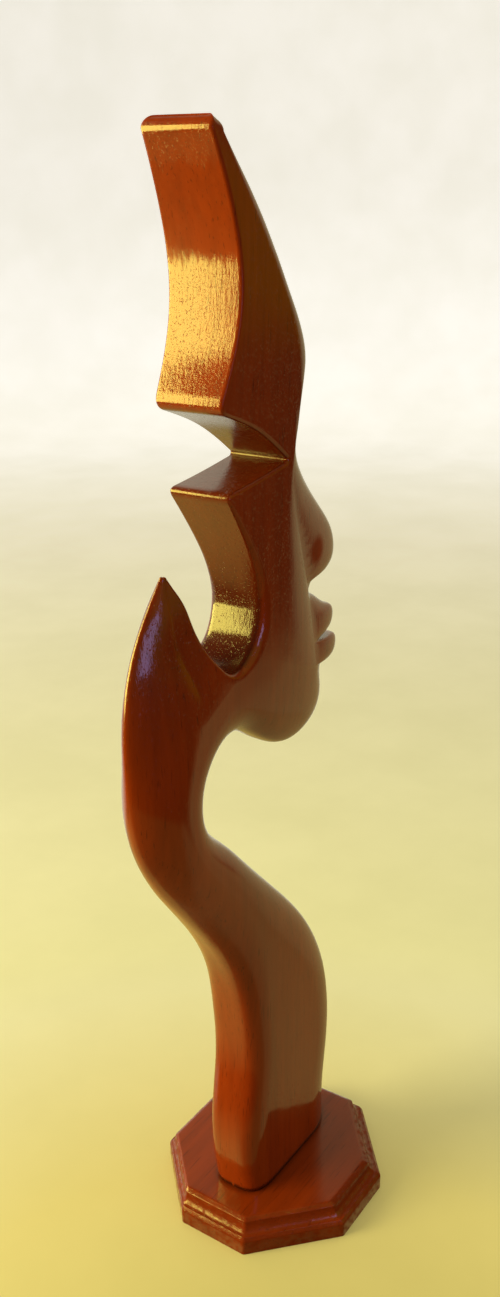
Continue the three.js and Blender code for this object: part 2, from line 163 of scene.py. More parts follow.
# %% The back of the head
CUT = [[-57, 335.5], [-47.8, 337.6], [-40, 344], [-34.8, 356], [-36, 372], [-43.8, 389], [-61, 413.6]]
LEDGE = [[-60.5, 419.6], [-38, 422.4], [-15.5, 425.9]]
ROOF = [[-15.3, 428], [-40, 443.5], [-66, 453.5]]
BAND = [[-69.5, 461], [-59.8, 485], [-56.9, 507], [-61.8, 533], [-75.5, 566]]
LEDGE_TIP = [-65.2, 418.4]
NOTCH = [-13.6, 426.9]
CROWN_CORNER = [-71.5, 455.5]
CLEFT_EDGE = 3.5  # rounding of the edge at the bottom of the cleft
CUT_EDGE = 6  # and at the middle of the hollow cut
SHARP_EDGE = 1.8  # and everywhere else

# %% [markdown]
# The face in profile
#
# The face is abstract: a nose, two lips and a chin in profile, and no eyes. The lips are two
# rolls, each given by its middle, its reach and half of its height, and the nose's tip is an
# arc. They stand out from a plain line that runs from the chin to the brow.

# %% Face values
JAW = [[-43, 298.5], [-22, 287.5], [0, 276.5], [21, 275.5], [37.5, 284.5], [40.6, 296], [40.3, 309]]
LOWER_LIP = {"root": 43, "z": 316, "reach": 16, "half": 7}
UPPER_LIP = {"root": 40, "z": 333, "reach": 14.5, "half": 8}
LIP_ANGLES = [-68, -24, 20, 64]
MOUTH = [38.5, 323.9]
NOSE_BASE = [[29, 350], [22.5, 354.5], [29, 359.5]]
NOSE_TIP = {"root": 45, "z": 369.5, "reach": 8.4, "half": 8.4}
NOSE_ANGLES = [-80, -30, 20]
BRIDGE = [[43, 388], [25.5, 404], [10, 420]]
BROW = [0, 434]
CROWN_FRONT = [[-2.5, 447], [8.6, 468], [-7.4, 502.6], [-37, 542.3], [-63.2, 565.5]]
# Where the flat side ends and the rounding towards the face begins, from the throat up.
CHEEK = [
    [-64.3, 318.6],
    [-50, 321],
    [-28, 333],
    [-20, 352],
    [-18, 374],
    [-15.5, 400],
    [-9.5, 428],
    [-6.5, 462],
    [-22, 500],
    [-50, 538],
    [-68, 565],
]

# %% The long lines
def roll(shape, angles):
    """Points round a lip or round the tip of the nose."""
    turns = np.radians(angles)
    x = shape["root"] + shape["reach"] * np.cos(turns)
    return np.column_stack([x, shape["z"] + shape["half"] * np.sin(turns)]).tolist()


profile_points = [station[2:4] for station in NECK]
marks = {"throat": len(profile_points) - 1}
for name, points in {
    "chin": JAW,
    "lips": roll(LOWER_LIP, LIP_ANGLES) + [MOUTH] + roll(UPPER_LIP, LIP_ANGLES),
    "nose": NOSE_BASE,
    "nose_top": roll(NOSE_TIP, NOSE_ANGLES),
    "bridge": BRIDGE,
    "brow": [BROW],
    "top": CROWN_FRONT,
}.items():
    profile_points += points
    marks[name] = len(profile_points) - 1

plain_points = np.array(profile_points, float)
chin_point = plain_points[marks["chin"]].copy()
for i in range(marks["chin"] + 1, marks["brow"]):
    share = (plain_points[i, 1] - chin_point[1]) / (BROW[1] - chin_point[1])
    plain_points[i, 0] = chin_point[0] + share * (BROW[0] - chin_point[0])

profile = SmoothLine(profile_points)
plain_face = SmoothLine(plain_points)
throat = SmoothLine([[x, z, rounding] for _, _, x, z, _, rounding, _ in NECK])
horn_backs = [[x, z, rounding, HORN_FULLNESS] for x, z, _, _, rounding, _ in HORN]
nape = SmoothLine([[x, z, rounding, full] for x, z, _, _, rounding, _, full in NECK] + horn_backs)
horn_size = SmoothLine([[x, z, half] for _, _, x, z, _, half in HORN])
horn_inner = [station[2:4] for station in reversed(HORN)]
cleft = SmoothLine(horn_inner + CUT[1:])
cleft_start = len(horn_inner) - 1
cheek, ledge, roof, band = (SmoothLine(points) for points in (CHEEK, LEDGE, ROOF, BAND))
print("profile points:", len(profile_points))

# %% [markdown]
# Ribs
#
# The carver leaves the plank's two faces flat and rounds the edges over towards them, so every
# cut across the carving is a flat strip with a rounding at each end. That cut is a rib here:
# half a rim at the back, the flat side, and half a rim at the front. A chain of ribs is easy to
# skin, and each rib can have its own roundings. Sculpting would also do, but its result couldn't
# be worked out again from a few sizes.

# %% One rib
WIDE_ARC = 36  # faces round a wide rounding
EDGE_ARC = 8  # faces round a narrow edge
FLAT_FACES = 10  # faces across the flat side
ROUND = 2  # fullness of an elliptical rounding
SQUARE_REACH = 20  # a rounding longer than this turns towards its flat end sooner
RELIEF_POWER = 2.6  # 2 would round the relief like an ellipse, and more keeps it full for longer
KEEL_SOFTNESS = 0.12  # how blunt a keel is, as a share of the half thickness


def rim(end, half):
    """Half of a rim, from its middle out to the flat side. The end says where its point is, which
    way is inward, where the flat side begins, and how high and how full the rounding is."""
    point, inward, flat = (np.array(end[key], float) for key in ("point", "inward", "flat"))
    relief = np.array(end.get("relief", (0, 0)), float)
    high = min(end["height"], half)
    length = np.linalg.norm(flat - point)
    square = min(SQUARE_REACH / length, 1)
    control = point + ((flat - point) * (1 - square) + inward * length * square) / 2
    across = np.sin(np.linspace(0, math.pi / 2, end["arcs"] + 1)[:, None])
    y = half - high + high * across
    if high == half:
        across = np.hypot(across, KEEL_SOFTNESS) - KEEL_SOFTNESS
        across /= math.hypot(1, KEEL_SOFTNESS) - KEEL_SOFTNESS
    t = 1 - np.sqrt(np.clip(1 - across ** end["fullness"], 0, None))
    place = (1 - t) ** 2 * point + 2 * t * (1 - t) * control + t**2 * flat
    if "relief_half" in end:
        rounding = np.clip(1 - (y / end["relief_half"]) ** RELIEF_POWER, 0, None)
        place = place + relief * np.sqrt(rounding)
    middle = [[point[0] + relief[0], 0, point[1] + relief[1]]]
    return np.vstack([middle, np.column_stack([place[:, 0], y, place[:, 1]])])


def rib(back, front, half=HALF_THICK):
    """A cut through the carving, from the middle of its back to the middle of its front."""
    rear, fore = rim(back, half), rim(front, half)[::-1]
    steps = np.linspace(0, 1, FLAT_FACES + 1)[1:-1, None]
    return np.vstack([rear, rear[-1] + steps * (fore[0] - rear[-1]), fore])


def wide(point, inward, flat, fullness=ROUND):
    end = {"point": point, "inward": inward, "flat": flat, "height": math.inf}
    return end | {"arcs": WIDE_ARC, "fullness": fullness}


def edge(point, inward, radius):
    flat = np.array(point) + np.array(inward) * radius
    end = {"point": point, "inward": inward, "flat": flat, "height": radius}
    return end | {"arcs": EDGE_ARC, "fullness": ROUND}


# %% [markdown]
# Neck and horn
#
# Both sides of the neck are wide roundings. The horn keeps the wide rounding at its back, and
# has a narrow edge round the flat that the saw left on its inner side. The foot is cut off
# level, so the first ribs turn level too. Where the outline curves strongly, roundings that set
# off square to it would crowd together, so each one also leans towards its rib's own line.

# %% Ribs of the neck and the horn
NECK_STEPS = 8
HORN_STEPS = 10
STRAIGHTEN_FADE = 1.5  # stations below the throat, over which the leaning fades out


def levelled(direction, share):
    """The direction, turned level by a share from 0 to 1."""
    rise = direction[1] * (1 - max(share, 0))
    return np.array([direction[0], rise]) / math.hypot(direction[0], rise)


def straightened(own, across, i):
    """An inward direction, turned halfway to the rib's own line except near the throat."""
    share = min((marks["throat"] - i) / STRAIGHTEN_FADE, 1)
    both = own + across / np.linalg.norm(across) * max(share, 0)
    return both / np.linalg.norm(both)


def neck_rib(i):
    back, front = nape.at(i), plain_face.at(i)
    across = front - back[:2]
    into_back = straightened(levelled(nape.right(i), 1 - i), across, i)
    into_front = straightened(levelled(-plain_face.right(i), 1 - i), -across, i)
    flat = front + into_front * throat.at(i)[2]
    if i == marks["throat"]:
        flat = cheek.at(0)
    rear = wide(back[:2], into_back, back[:2] + into_back * back[2], back[3])
    return rib(rear, wide(front, into_front, flat))


def horn_rib(i):
    half = horn_size.at(i)[2]
    back, into = nape.at(len(NECK) + i), nape.right(len(NECK) + i)
    radius = min(CLEFT_EDGE + min(i, 1) * (SHARP_EDGE - CLEFT_EDGE), half / 2)
    inner = cleft_start - i
    rear = wide(back[:2], into, back[:2] + into * back[2], back[3])
    return rib(rear, edge(cleft.at(inner), cleft.right(inner), radius), half)


neck_ribs = [neck_rib(i) for i in np.linspace(0, len(NECK) - 1, (len(NECK) - 1) * NECK_STEPS + 1)]
horn_ribs = [horn_rib(i) for i in np.linspace(0, len(HORN) - 1, (len(HORN) - 1) * HORN_STEPS + 1)]
print("neck ribs:", len(neck_ribs), "horn ribs:", len(horn_ribs))

# %% [markdown]
# The head
#
# The head's ribs walk round it from the cleft up to the crown: their backs follow the cut, the
# ledge, the roof of the notch and the band, and their fronts follow the face. Each stretch says
# how far the front has come when the back reaches its end. The lips, the nose and the brow are
# a relief on the plain face that is narrower than the plank, as a carver would leave them.

# %% Ribs of the head
def corner(before, tip, after):
    """A rounded corner between two lines, with its inward direction."""
    a, b, tip = before.at(before.last), after.at(0), np.array(tip)

    def place(t):
        first, second = a + (tip - a) * t, tip + (b - tip) * t
        dx, dz = second - first
        return first + (second - first) * t, np.array([dz, -dx]) / math.hypot(dx, dz)

    return place


def along(line, start, end):
    def place(t):
        index = start + (end - start) * t
        return line.at(index), line.right(index)

    return place


# Half the width of the relief: the lips are narrow, and the nose widens into the brow.
LIPS_HALF = 10.7
NOSE_HALF = 12.5
BRIDGE_HALF = 16
RELIEF_HALVES = [
    [marks["nose"], LIPS_HALF],
    [marks["nose_top"], NOSE_HALF],
    [marks["bridge"], BRIDGE_HALF],
]
# Indexes on the cleft: how far the back has come when the front is at the chin and at the nose.
beside_chin = cleft_start + 2
beside_nose = cleft_start + 3.4
brow = marks["brow"]
# Each stretch is [back, profile index, cheek index, steps, rounding of the back edge].
STRETCHES = [
    [along(cleft, cleft_start, beside_chin), marks["chin"], 2, 42, CUT_EDGE],
    [along(cleft, beside_chin, beside_nose), marks["nose"], 3.3, 110, CUT_EDGE],
    [along(cleft, beside_nose, cleft.last), marks["bridge"] - 0.5, 5.2, 48, SHARP_EDGE],
    [corner(cleft, LEDGE_TIP, ledge), marks["bridge"] - 0.3, 5.3, 9, SHARP_EDGE],
    [along(ledge, 0, ledge.last), brow - 0.3, 5.9, 16, SHARP_EDGE],
    [corner(ledge, NOTCH, roof), brow + 0.3, 6.1, 9, SHARP_EDGE],
    [along(roof, 0, roof.last), brow + 1.8, 6.8, 18, SHARP_EDGE],
    [corner(roof, CROWN_CORNER, band), brow + 2, 7, 9, SHARP_EDGE],
    [along(band, 0, band.last), marks["top"], cheek.last, 60, SHARP_EDGE],
]


# The crown is a little thicker than the rest: this much is added to each side, at a height.
CROWN_START = 424
CROWN_END = 600
CROWN_SWELL = 2.8
SWELL_POWER = 1.3  # above 1, so that the swelling starts without a kink


def crown_swell(z):
    share = max((z - CROWN_START) / (CROWN_END - CROWN_START), 0)
    return CROWN_SWELL * math.sin(math.pi * share) ** SWELL_POWER


CHEEK_BLEND = 1.0  # indexes of the profile over which a change of pace is spread
BLEND_SAMPLES = 9
profile_stops = [marks["throat"]] + [stretch[1] for stretch in STRETCHES]
cheek_stops = [0] + [stretch[2] for stretch in STRETCHES]


def cheek_beside(index):
    """The end of the rounding beside a place on the profile, without creases between stretches."""
    reach = min(CHEEK_BLEND, index - profile_stops[0], profile_stops[-1] - index)
    near = index + np.linspace(-reach, reach, BLEND_SAMPLES)
    return cheek.at(np.interp(near, profile_stops, cheek_stops).mean())


def head_rib(back, index, radius):
    plain = plain_face.at(index)
    begin = cheek_beside(index)
    front = wide(plain, -plain_face.right(index), begin)
    front["relief"] = profile.at(index) - plain
    front["relief_half"] = np.interp(index, *zip(*RELIEF_HALVES))
    return rib(edge(*back, radius), front, HALF_THICK + crown_swell(back[0][1]))


head_ribs = []
walked = [marks["throat"], CLEFT_EDGE]
for back, index, _, steps, radius in STRETCHES:
    for t in np.linspace(0, 1, steps + 1)[1 if head_ribs else 0 :]:
        now = [a + (b - a) * t for a, b in zip(walked, [index, radius])]
        head_ribs.append(head_rib(back(t), *now))
    walked = [index, radius]
print("head ribs:", len(head_ribs))

# %% [markdown]
# Rounded ends
#
# The crown's top and the horn's tip are rounded over. A few more rings above the last rib do
# that: they rise along a quarter of an ellipse while they draw in and get thinner.

# %% Rings over the ends
TOP_RISE = 4.5  # height of the rounding over the crown
TIP_RISE = 0.9  # and over the horn's tip
END_DRAW = 0.42  # the most that each edge draws in, as a share of the width
END_THIN = 0.8  # the most that the end gets thinner, as a share of the thickness
END_RINGS = 8


def end_rings(last, rise):
    back, front, half = last[0, 0], last[-1, 0], last[:, 1].max()
    drawn = min(rise / (front - back), END_DRAW)
    thinned = min(rise / half, END_THIN)
    rings = []
    for angle in np.linspace(0, math.pi / 2, END_RINGS + 1)[1:]:
        inwards = 1 - math.cos(angle)
        across = (last[:, 0] - back) / (front - back)
        across = drawn * inwards + across * (1 - 2 * drawn * inwards)
        ring = np.column_stack([back + (front - back) * across, last[:, 1], last[:, 2]])
        ring[:, 1] *= 1 - thinned * inwards
        ring[:, 2] += rise * math.sin(angle)
        rings.append(ring)
    return rings


horn_ribs += end_rings(horn_ribs[-1], TIP_RISE)
head_ribs += end_rings(head_ribs[-1], TOP_RISE)

# %% [markdown]
# Skinning the ribs
#
# Each pair of ribs is joined by a strip of four-sided faces, on the side where Y is positive and
# again on the other side. Where the neck divides into the horn and the head, the back of the
# neck runs on into the horn, and the flat side between the three is filled with a grid that is
# blended from its four borders. Then points that fell on each other are welded.

# %% Make the mesh
class Skin:
    """Patches of faces over grids of points, which are welded into one mesh at the end."""

    def __init__(self):
        self.points = []
        self.faces = []

    def patch(self, grid):
        rows, columns = grid.shape[:2]
        for side, flip in ((1, False), (-1, True)):
            start = len(self.points)
            self.points.extend((grid * (1, side, 1)).reshape(-1, 3).tolist())
            for r in range(rows - 1):
                for c in range(columns - 1):
                    a = start + r * columns + c
                    face = (a, a + columns, a + columns + 1, a + 1)
                    self.faces.append(face[::-1] if flip else face)

    def lid(self, last, facing_up):
        """A strip straight across the thickness, over a last rib or under a first one."""
        start = len(self.points)
        count = len(last)
        self.points.extend(last.tolist() + (last * (1, -1, 1)).tolist())
        for i in range(start, start + count - 1):
            face = (i, i + count, i + count + 1, i + 1)
            self.faces.append(face if facing_up else face[::-1])


def blended_grid(first, last, start, end):
    """A grid between two facing borders, first and last, and the two that join their ends."""
    u = np.linspace(0, 1, len(start))[:, None, None]
    v = np.linspace(0, 1, len(first))[None, :, None]
    lengthways = (1 - u) * first[None] + u * last[None]
    across = (1 - v) * start[:, None] + v * end[:, None]
    corners = (1 - u) * ((1 - v) * first[0] + v * first[-1]) + u * ((1 - v) * last[0] + v * last[-1])
    return lengthways + across - corners


rim_end = WIDE_ARC + 1  # the column where a wide rounding ends on the flat side
flat_end = rim_end + FLAT_FACES
edge_end = EDGE_ARC + 1
divide = [neck_rib(i) for i in np.linspace(len(NECK) - 1, len(NECK), FLAT_FACES + 1)[1:-1]]
backs = [neck_ribs[-1]] + divide + [horn_ribs[0]]
back_grid = np.array([one[: rim_end + 1] for one in backs])

figure_skin = Skin()
figure_skin.patch(np.array(neck_ribs))
figure_skin.patch(np.array(horn_ribs))
figure_skin.patch(np.array(head_ribs))
figure_skin.patch(back_grid)
figure_skin.patch(
    blended_grid(
        neck_ribs[-1][rim_end : flat_end + 1],
        horn_ribs[0][rim_end : flat_end + 1],
        back_grid[:, -1],
        head_ribs[0][edge_end : edge_end + FLAT_FACES + 1][::-1],
    )
)
figure_skin.lid(neck_ribs[0], facing_up=False)
figure_skin.lid(horn_ribs[-1], facing_up=True)
figure_skin.lid(head_ribs[-1], facing_up=True)
print("figure faces before welding:", len(figure_skin.faces))

# %% Weld it
WELD_DISTANCE = 0.001 * MM


def make_piece(name, skin):
    """A smooth shaded object from a skin, whose points are in millimetres."""
    mesh = bpy.data.meshes.new(name)
    mesh.from_pydata([[v * MM for v in point] for point in skin.points], [], skin.faces)
    work = bmesh.new()
    work.from_mesh(mesh)
    bmesh.ops.remove_doubles(work, verts=work.verts, dist=WELD_DISTANCE)
    bmesh.ops.recalc_face_normals(work, faces=work.faces)
    open_edges = sum(not one.is_manifold for one in work.edges)
    work.to_mesh(mesh)
    work.free()
    mesh.shade_smooth()
    piece = bpy.data.objects.new(name, mesh)
    bpy.context.scene.collection.objects.link(piece)
    print(name, "has", len(mesh.polygons), "faces and", open_edges, "open edges")
    return piece


figure = make_piece("figure", figure_skin)

# %% [markdown]
# A hand-worked surface
#
# Rasp and sandpaper never leave a surface quite true, and that is what makes reflections wander
# on carved wood. A bump in the material would bend the reflections too, but not the outline. So
# each point moves along its normal by a small amount of smooth noise: some long waves, and some
# shorter ones. The foot is left as it is, because it has to meet the base. All of it is in
# millimetres, and a little is sanded off too, which keeps the waves inside the CAD model's box.

# %% Wander the surface
LONG_WAVE = 55
LONG_DEPTH = 0.22
SHORT_WAVE = 14
SHORT_DEPTH = 0.07
SANDED = 0.05  # taken off everywhere
CALM_HEIGHT = 12  # above the foot, over which the waves fade in


def wander(piece, calm_below):
    mesh = piece.data
    places = np.zeros(len(mesh.vertices) * 3)
    normals = np.zeros(len(mesh.vertices) * 3)
    mesh.vertices.foreach_get("co", places)
    mesh.vertex_normals.foreach_get("vector", normals)
    places, normals = places.reshape(-1, 3) / MM, normals.reshape(-1, 3)
    depth = np.array(
        [
            LONG_DEPTH * noise.noise(Vector(place / LONG_WAVE))
            + SHORT_DEPTH * noise.noise(Vector(place / SHORT_WAVE))
            - SANDED
            for place in places
        ]
    )
    depth *= np.clip((places[:, 2] - calm_below) / CALM_HEIGHT, 0, 1)
    places += normals * depth[:, None]
    mesh.vertices.foreach_set("co", (places * MM).ravel())
    mesh.update()
    print(piece.name, "wanders by up to", round(float(np.abs(depth).max()), 2), "mm")


wander(figure, FOOT_Z)

# %% [markdown]
# The base
#
# A board cut to an octagon by hand, so its sides aren't quite alike, with a moulding cut along
# its upper edge: a small ledge, a hollow cove and a sloping shoulder. An extruded octagon with a
# bevel can't have this section, so the section is walked from the underside to the top, and each
# of its points becomes a ring round the octagon with small round corners.

# %% The moulding's section
# Each side is [direction it faces in degrees, distance from the middle, width of its moulding].
BASE_SIDES = [
    [0, 68, 8.5],
    [45, 61, 8],
    [90, 58, 7.2],
    [133.5, 56, 4.4],
    [178.6, 60.8, 7.7],
    [226.4, 57.8, 7.8],
    [270, 60.7, 9.6],
    [309, 62, 10.2],
]
# Points of the section are [how far in as a share of the moulding's width, height in mm].
MOULDING_LEDGE = [[0, 8.4], [0.13, 10.1], [0.17, 10.6]]
COVE_TOP = [0.7, 17]
COVE_TURN = 75  # degrees that the hollow turns through
COVE_STEPS = 14
EDGE_ROUNDING = 0.6
UNDERSIDE_MARGIN = 2.4  # mm of the flat underside, where the section starts
TOP_MARGIN = 3  # mm of the flat top, where it ends
ARC_STEPS = 4


def rounded(points, radius):
    """The open section through [across, up] points in mm, with its inner corners rounded."""
    line = [np.array(points[0], float)]
    for before, tip, after in zip(points, points[1:], points[2:]):
        before, tip, after = (np.array(one, float) for one in (before, tip, after))
        back, on = before - tip, after - tip
        cut = min(radius, np.linalg.norm(back) / 2, np.linalg.norm(on) / 2)
        start = tip + back / np.linalg.norm(back) * cut
        end = tip + on / np.linalg.norm(on) * cut
        for t in np.linspace(0, 1, ARC_STEPS + 1):
            line.append((1 - t) ** 2 * start + 2 * t * (1 - t) * tip + t**2 * end)
    line.append(np.array(points[-1], float))
    return line


def moulding(width):
    """The section at a side, as [distance in from its face, height] in mm."""
    foot = MOULDING_LEDGE[-1]
    corners = [[UNDERSIDE_MARGIN, 0], [0, 0]]
    corners += [[share * width, z] for share, z in MOULDING_LEDGE]
    for step in range(1, COVE_STEPS + 1):
        angle = math.radians(COVE_TURN) * step / COVE_STEPS
        across = math.sin(angle) / math.sin(math.radians(COVE_TURN))
        up = (1 - math.cos(angle)) / (1 - math.cos(math.radians(COVE_TURN)))
        share = foot[0] + (COVE_TOP[0] - foot[0]) * across
        corners.append([share * width, foot[1] + (COVE_TOP[1] - foot[1]) * up])
    corners += [[width, BASE_THICK], [width + TOP_MARGIN, BASE_THICK]]
    return np.array(rounded(corners, EDGE_ROUNDING))


# %% Rings round the octagon
SIDE_FACES = 26
CORNER_ROUNDING = 1.1


def crossing(one, other):
    """The corner between two sides, each given by the direction it faces and its distance."""
    (ax, ay, a), (bx, by, b) = one, other
    turn = ax * by - ay * bx
    return np.array([a * by - b * ay, b * ax - a * bx]) / turn


sections = [moulding(width) for _, _, width in BASE_SIDES]
rings = []
for level in range(len(sections[0])):
    sides = []
    for (degrees, distance, _), section in zip(BASE_SIDES, sections):
        angle = math.radians(degrees)
        sides.append((math.cos(angle), math.sin(angle), distance - section[level][0]))
    corners = [crossing(sides[i - 1], sides[i]) for i in range(len(sides))]
    height = sections[0][level][1]
    ring = []
    for i, here in enumerate(corners):
        before, after = corners[i - 1], corners[(i + 1) % len(corners)]
        start = here + (before - here) / np.linalg.norm(before - here) * CORNER_ROUNDING
        end = here + (after - here) / np.linalg.norm(after - here) * CORNER_ROUNDING
        for t in np.linspace(0, 1, ARC_STEPS + 1):
            x, y = (1 - t) ** 2 * start + 2 * t * (1 - t) * here + t**2 * end
            ring.append([x, y, height])
        stop = after + (here - after) / np.linalg.norm(here - after) * CORNER_ROUNDING
        for t in np.linspace(0, 1, SIDE_FACES + 1)[1:-1]:
            ring.append([*(end + (stop - end) * t), height])
    rings.append(ring)
print("base rings:", len(rings), "of", len(rings[0]), "points")

# %% Skin the base
base_skin = Skin()
ring_size = len(rings[0])
base_skin.points = [point for ring in rings for point in ring]
for level in range(len(rings) - 1):
    for i in range(ring_size):
        a, b = level * ring_size + i, level * ring_size + (i + 1) % ring_size
        base_skin.faces.append((a, b, b + ring_size, a + ring_size))
base_skin.faces.append(tuple(range(ring_size))[::-1])
base_skin.faces.append(tuple(range((len(rings) - 1) * ring_size, len(rings) * ring_size)))
base = make_piece("base", base_skin)

# %% [markdown]
# Putting the fine pieces in place of the CAD parts
#
# Each fine mesh stands for one node of the CAD model, whose faceted part is hidden, and rides on
# its body.

# %% Hand the pieces over
for piece, node, slot in ((figure, "carved_figure", "figure_wood"), (base, "octagonal_base", "base_wood")):
    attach(piece, "root")
    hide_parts(node)

# %% [markdown]
# Stained and varnished wood
#
# Under the varnish the wood is stained, and the stain sinks deeper into the open grain. So the
# colour is a mix of a few reddish browns, by noise that is stretched along the grain: broad
# bands, fine streaks and short dark pores. Creases that ambient occlusion finds are darkened,
# which is painted shade. The varnish is the shader's clear coat. Brush strokes along the grain,
# dust and the open pores make it uneven, and that is what breaks up the highlights, so the coat
# gets a bump of its own. That takes many nodes, and a small helper adds and links them.

# %% A helper for nodes
class Nodes:
    """Adds nodes to a tree. An input is a number, a colour or a socket to be linked."""

    def __init__(self, tree):
        self.tree = tree
        tree.nodes.clear()

    def add(self, kind, inputs=None, **settings):
        node = self.tree.nodes.new(kind)
        for key, value in settings.items():
            setattr(node, key, value)
        for key, value in (inputs or {}).items():
            if isinstance(value, bpy.types.NodeSocket):
                self.tree.links.new(value, node.inputs[key])
            else:
                node.inputs[key].default_value = value
        return node

    def noise(self, place, scale, detail=2.0, roughness=0.5):
        inputs = {"Vector": place, "Scale": scale, "Detail": detail, "Roughness": roughness}
        return self.add("ShaderNodeTexNoise", inputs).outputs["Fac"]

    def ramp(self, value, *stops):
        """A colour ramp with stops of (position, colour)."""
        node = self.add("ShaderNodeValToRGB", {"Fac": value})
        elements = node.color_ramp.elements
        while len(elements) < len(stops):
            elements.new(0.5)
        for element, (position, colour) in zip(elements, stops):
            element.position = position
            element.color = (*colour, 1) if len(colour) == 3 else colour
        return node.outputs["Color"]

    def mix(self, share, first, second, blend="MIX"):
        node = self.add("ShaderNodeMix", data_type="RGBA", blend_type=blend)
        for index, value in ((0, share), (6, first), (7, second)):
            if isinstance(value, bpy.types.NodeSocket):
                self.tree.links.new(value, node.inputs[index])
            else:
                node.inputs[index].default_value = (*value, 1) if index else value
        return node.outputs[2]

    def math(self, operation, *values):
        return self.add("ShaderNodeMath", dict(enumerate(values)), operation=operation).outputs[0]

    def fade(self, value, start, end):
        """0 where the value is start, 1 where it is end, and smooth between."""
        inputs = {"Value": value, "From Min": start, "From Max": end}
        return self.add("ShaderNodeMapRange", inputs, interpolation_type="SMOOTHSTEP").outputs["Result"]

    def between(self, value, low, high, soft):
        """1 where the value is between low and high, with borders that fade over soft."""
        rising = self.fade(value, low - soft / 2, low + soft / 2)
        falling = self.fade(value, high + soft / 2, high - soft / 2)
        return self.math("MULTIPLY", rising, falling)

    def bump(self, height, strength, distance, normal=None):
        inputs = {"Height": height, "Strength": strength, "Distance": distance}
        if normal is not None:
            inputs["Normal"] = normal
        return self.add("ShaderNodeBump", inputs).outputs["Normal"]


def stretched(nodes, scale):
    """Places on the wood, shrunk along the grain so that a texture is drawn out along it."""
    place = nodes.add("ShaderNodeTexCoord").outputs["Object"]
    return nodes.add("ShaderNodeMapping", {"Vector": place, "Scale": scale}).outputs["Vector"]


def grey(value):
    return (value, value, value)


# %% Varnished wood
# Scales of the noises: a higher one is a finer noise.
BANDS = 30
STREAKS = 260
PORES = 1100
STROKES = 620
DIMPLES = 900
STROKE_SPREAD = 0.1  # how much less the brush strokes are drawn out than the grain
# The dark colour of stained pores, and also of the painted shade in creases and in the hollow.
DARK_STAIN_AND_SHADE = (0.03, 0.004, 0.0005)
# Each pair of stops is where the noise turns from one colour or grey to the other.
BAND_STOPS = (0.32, 0.7)
STREAK_STOPS = [(0.35, grey(0.84)), (0.65, grey(1.0))]
PORE_STOPS = [(0.26, grey(0.45)), (0.36, grey(0.0))]
DIMPLE_STOPS = [(0.30, grey(0.0)), (0.40, grey(1.0))]
# Painted shade: where ambient occlusion finds a crease, the colour turns dark.
CREASE_SHADE_STOPS = [(0.3, grey(0.7)), (0.8, grey(0.0))]
CREASE_SHADE_REACH = 0.005  # metres, as all sizes below
GRAIN_RELIEF = 0.0002
GRAIN_STRENGTH = 0.3
BRUSH_RELIEF = 0.00013
DIMPLE_RELIEF = 0.0001
FINISH = {
    "Roughness": 0.42,
    "Specular IOR Level": 0.05,
    "Coat Roughness": 0.08,
    "Coat IOR": 1.5,
}


def varnished_wood(name, grain, pale, deep, uneven):
    """grain scales a place along X, Y and Z: small along the grain. uneven adds the nodes that
    say how much darker each place is, which in the hollow is painted shade, how roughly brushed
    and how well varnished it is."""
    material = bpy.data.materials.new(name)
    material.use_nodes = True
    nodes = Nodes(material.node_tree)
    plain = nodes.add("ShaderNodeTexCoord").outputs["Object"]
    place = stretched(nodes, grain)
    bands = nodes.noise(place, BANDS, 3)
    streaks = nodes.noise(place, STREAKS, 4, 0.6)
    pores = nodes.noise(place, PORES, 1)
    colour = nodes.ramp(bands, *zip(BAND_STOPS, (deep, pale)))
    colour = nodes.mix(1.0, colour, nodes.ramp(streaks, *STREAK_STOPS), "MULTIPLY")
    colour = nodes.mix(nodes.ramp(pores, *PORE_STOPS), colour, DARK_STAIN_AND_SHADE)
    # Painted shade in the creases, found by ambient occlusion.
    sky = nodes.add("ShaderNodeAmbientOcclusion", {"Distance": CREASE_SHADE_REACH}, samples=6).outputs["AO"]
    colour = nodes.mix(nodes.ramp(sky, *CREASE_SHADE_STOPS), colour, DARK_STAIN_AND_SHADE)
    darkened, brushed, varnished = uneven(nodes, plain)
    # Darker places, painted shade in the hollow among them, turn towards the dark colour.
    colour = nodes.mix(darkened, colour, DARK_STAIN_AND_SHADE)
    drawn = [(1 - STROKE_SPREAD) * one + STROKE_SPREAD for one in grain]
    brush = nodes.noise(stretched(nodes, drawn), STROKES, 3, 0.7)
    dimples = nodes.ramp(nodes.noise(plain, DIMPLES, 3, 0.7), *DIMPLE_STOPS)
    coat_bump = nodes.bump(brush, brushed, BRUSH_RELIEF)
    coat_bump = nodes.bump(dimples, brushed, DIMPLE_RELIEF, coat_bump)
    inputs = {"Base Color": colour, "Coat Weight": varnished, "Coat Normal": coat_bump}
    inputs["Normal"] = nodes.bump(streaks, GRAIN_STRENGTH, GRAIN_RELIEF)
    shader = nodes.add("ShaderNodeBsdfPrincipled", FINISH | inputs)
    nodes.add("ShaderNodeOutputMaterial", {"Surface": shader.outputs["BSDF"]})
    return material


# %% [markdown]
# Where it isn't even
#
# No brushed and handled piece is the same all over. The hollow cut and the notch are darkened,
# as painted shade, and the horn is darker too. They are brushed more roughly, and so is the
# crown's band, where a dull stretch with ragged ends has lost its varnish. The crown's edges and
# a spot on the nose are rubbed, and the moulding is darker, with thin varnish in patches. Masks
# could be painted on the mesh by hand. Here each one comes from the place on the wood and from
# the way the surface faces.

# %% Masks of the figure
BRUSHED = 0.4  # relief of the brush strokes elsewhere, as a share of that where they are rough
DULLED = 0.85  # how much of the varnish is lost where it is dull
